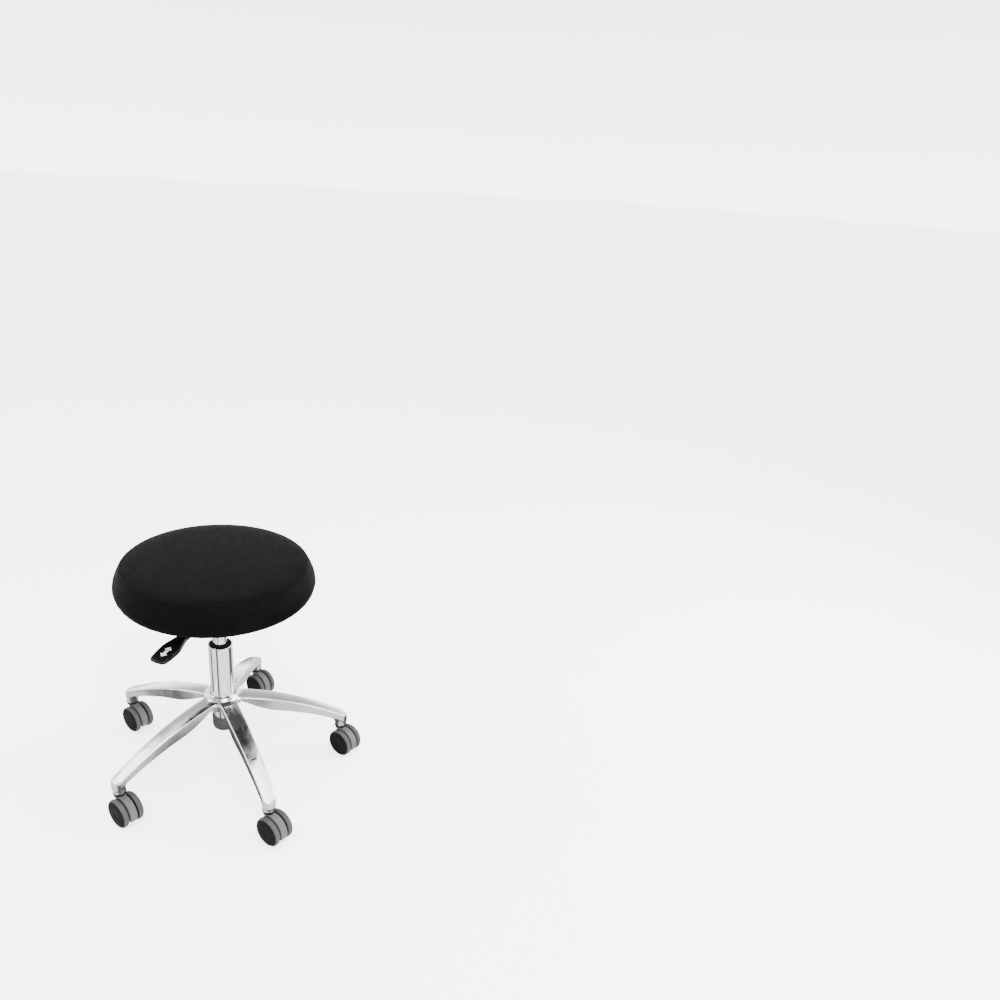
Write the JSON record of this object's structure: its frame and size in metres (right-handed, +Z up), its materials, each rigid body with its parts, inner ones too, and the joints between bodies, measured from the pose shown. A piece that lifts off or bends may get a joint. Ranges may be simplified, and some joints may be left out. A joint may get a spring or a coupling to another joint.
{
  "type": "dentist stool",
  "caption": "Round padded stool on a gas lift, with a lever under the seat, over a polished cast star base on twin-wheel casters.",
  "frame": {"origin": "on the floor, under the column's axis", "axes": "+Z up along the column; -Y along the front arm; +X to the right, seen from the front"},
  "size_m": [0.5442, 0.5297, 0.492],
  "materials": {
    "cast_aluminium": "polished casting",
    "chrome": "bright chrome plate",
    "steel": "bright zinc plate or ground steel",
    "black_steel": "black powder coat",
    "black_plastic": "moulded nylon",
    "lever_plastic": "gloss moulded",
    "hood_grey": "fine satin moulded",
    "tread_grey": "soft polyurethane",
    "leatherette": "fine-grained black leatherette",
    "foam": "polyurethane foam",
    "plywood": "plywood, stained black",
    "cord": "braided cord"
  },
  "bodies": {
    "base": {"base_casting": "cast_aluminium", "socket_sleeves": "black_plastic", "grip_rings": "steel", "caster_1_stem": "steel", "caster_2_stem": "steel", "caster_3_stem": "steel", "caster_4_stem": "steel", "caster_5_stem": "steel", "outer_tube": "chrome", "guide_bush": "black_plastic", "bearing_lower_race": "steel", "bearing_balls": "steel"},
    "rod": {"piston_rod": "steel", "piston": "black_plastic", "rod_clip": "steel", "bearing_upper_race": "steel"},
    "seat": {"gas_cylinder": "chrome", "cylinder_gland": "black_plastic", "seat_plate": "black_steel", "lever_pin": "steel", "seat_board": "plywood", "plate_screws": "steel", "tee_nuts": "steel", "cushion_foam": "foam", "seat_cover": "leatherette", "cover_drawcord": "cord"},
    "lever": {"lever_rod": "black_steel", "lever_paddle": "lever_plastic"},
    "release": {"release_pin": "steel"},
    "caster_1": {"caster_1_housing": "hood_grey", "caster_1_axle": "steel"},
    "caster_1_left": {"caster_1_wheel_left": "black_plastic", "caster_1_tread_left": "tread_grey"},
    "caster_1_right": {"caster_1_wheel_right": "black_plastic", "caster_1_tread_right": "tread_grey"},
    "caster_2": {"caster_2_housing": "hood_grey", "caster_2_axle": "steel"},
    "caster_2_left": {"caster_2_wheel_left": "black_plastic", "caster_2_tread_left": "tread_grey"},
    "caster_2_right": {"caster_2_wheel_right": "black_plastic", "caster_2_tread_right": "tread_grey"},
    "caster_3": {"caster_3_housing": "hood_grey", "caster_3_axle": "steel"},
    "caster_3_left": {"caster_3_wheel_left": "black_plastic", "caster_3_tread_left": "tread_grey"},
    "caster_3_right": {"caster_3_wheel_right": "black_plastic", "caster_3_tread_right": "tread_grey"},
    "caster_4": {"caster_4_housing": "hood_grey", "caster_4_axle": "steel"},
    "caster_4_left": {"caster_4_wheel_left": "black_plastic", "caster_4_tread_left": "tread_grey"},
    "caster_4_right": {"caster_4_wheel_right": "black_plastic", "caster_4_tread_right": "tread_grey"},
    "caster_5": {"caster_5_housing": "hood_grey", "caster_5_axle": "steel"},
    "caster_5_left": {"caster_5_wheel_left": "black_plastic", "caster_5_tread_left": "tread_grey"},
    "caster_5_right": {"caster_5_wheel_right": "black_plastic", "caster_5_tread_right": "tread_grey"}
  },
  "joints": [
    {"name": "seat_swivel", "type": "hinge", "parent": "base", "child": "rod", "pos_m": [0, 0, 0.1], "axis": [0, 0, 1], "continuous": true},
    {"name": "seat_lift", "type": "slide", "parent": "rod", "child": "seat", "axis": [0, 0, 1], "range_m": [-0.05, 0.074]},
    {"name": "lever_pull", "type": "hinge", "parent": "seat", "child": "lever", "pos_m": [-0.01917, -0.01444, 0.386], "axis": [-0.6018, 0.7986, 0], "range_deg": [0, 7], "stiffness_Nm_per_rad": 3, "springref_deg": -11.46},
    {"name": "release_push", "type": "slide", "parent": "seat", "child": "release", "axis": [0, 0, -1], "range_m": [0, 0.0031]},
    {"name": "caster_1_swivel", "type": "hinge", "parent": "base", "child": "caster_1", "pos_m": [0, -0.254, 0.06], "axis": [0, 0, 1], "continuous": true},
    {"name": "caster_1_left_roll", "type": "hinge", "parent": "caster_1", "child": "caster_1_left", "pos_m": [0.00513, -0.2681, 0.03], "axis": [0.9397, 0.342, 0], "continuous": true},
    {"name": "caster_1_right_roll", "type": "hinge", "parent": "caster_1", "child": "caster_1_right", "pos_m": [0.00513, -0.2681, 0.03], "axis": [0.9397, 0.342, 0], "continuous": true},
    {"name": "caster_2_swivel", "type": "hinge", "parent": "base", "child": "caster_2", "pos_m": [0.24157, -0.07849, 0.06], "axis": [0, 0, 1], "continuous": true},
    {"name": "caster_2_left_roll", "type": "hinge", "parent": "caster_2", "child": "caster_2_left", "pos_m": [0.2467, -0.09259, 0.03], "axis": [0.9397, 0.342, 0], "continuous": true},
    {"name": "caster_2_right_roll", "type": "hinge", "parent": "caster_2", "child": "caster_2_right", "pos_m": [0.2467, -0.09259, 0.03], "axis": [0.9397, 0.342, 0], "continuous": true},
    {"name": "caster_3_swivel", "type": "hinge", "parent": "base", "child": "caster_3", "pos_m": [0.1493, 0.20549, 0.06], "axis": [0, 0, 1], "continuous": true},
    {"name": "caster_3_left_roll", "type": "hinge", "parent": "caster_3", "child": "caster_3_left", "pos_m": [0.15443, 0.1914, 0.03], "axis": [0.9397, 0.342, 0], "continuous": true},
    {"name": "caster_3_right_roll", "type": "hinge", "parent": "caster_3", "child": "caster_3_right", "pos_m": [0.15443, 0.1914, 0.03], "axis": [0.9397, 0.342, 0], "continuous": true},
    {"name": "caster_4_swivel", "type": "hinge", "parent": "base", "child": "caster_4", "pos_m": [-0.1493, 0.20549, 0.06], "axis": [0, 0, 1], "continuous": true},
    {"name": "caster_4_left_roll", "type": "hinge", "parent": "caster_4", "child": "caster_4_left", "pos_m": [-0.14417, 0.1914, 0.03], "axis": [0.9397, 0.342, 0], "continuous": true},
    {"name": "caster_4_right_roll", "type": "hinge", "parent": "caster_4", "child": "caster_4_right", "pos_m": [-0.14417, 0.1914, 0.03], "axis": [0.9397, 0.342, 0], "continuous": true},
    {"name": "caster_5_swivel", "type": "hinge", "parent": "base", "child": "caster_5", "pos_m": [-0.24157, -0.07849, 0.06], "axis": [0, 0, 1], "continuous": true},
    {"name": "caster_5_left_roll", "type": "hinge", "parent": "caster_5", "child": "caster_5_left", "pos_m": [-0.23644, -0.09259, 0.03], "axis": [0.9397, 0.342, 0], "continuous": true},
    {"name": "caster_5_right_roll", "type": "hinge", "parent": "caster_5", "child": "caster_5_right", "pos_m": [-0.23644, -0.09259, 0.03], "axis": [0.9397, 0.342, 0], "continuous": true}
  ],
  "couplings": [
    {"joint": "release_push", "follows": "lever_pull", "m_per_rad": 0.024}
  ]
}
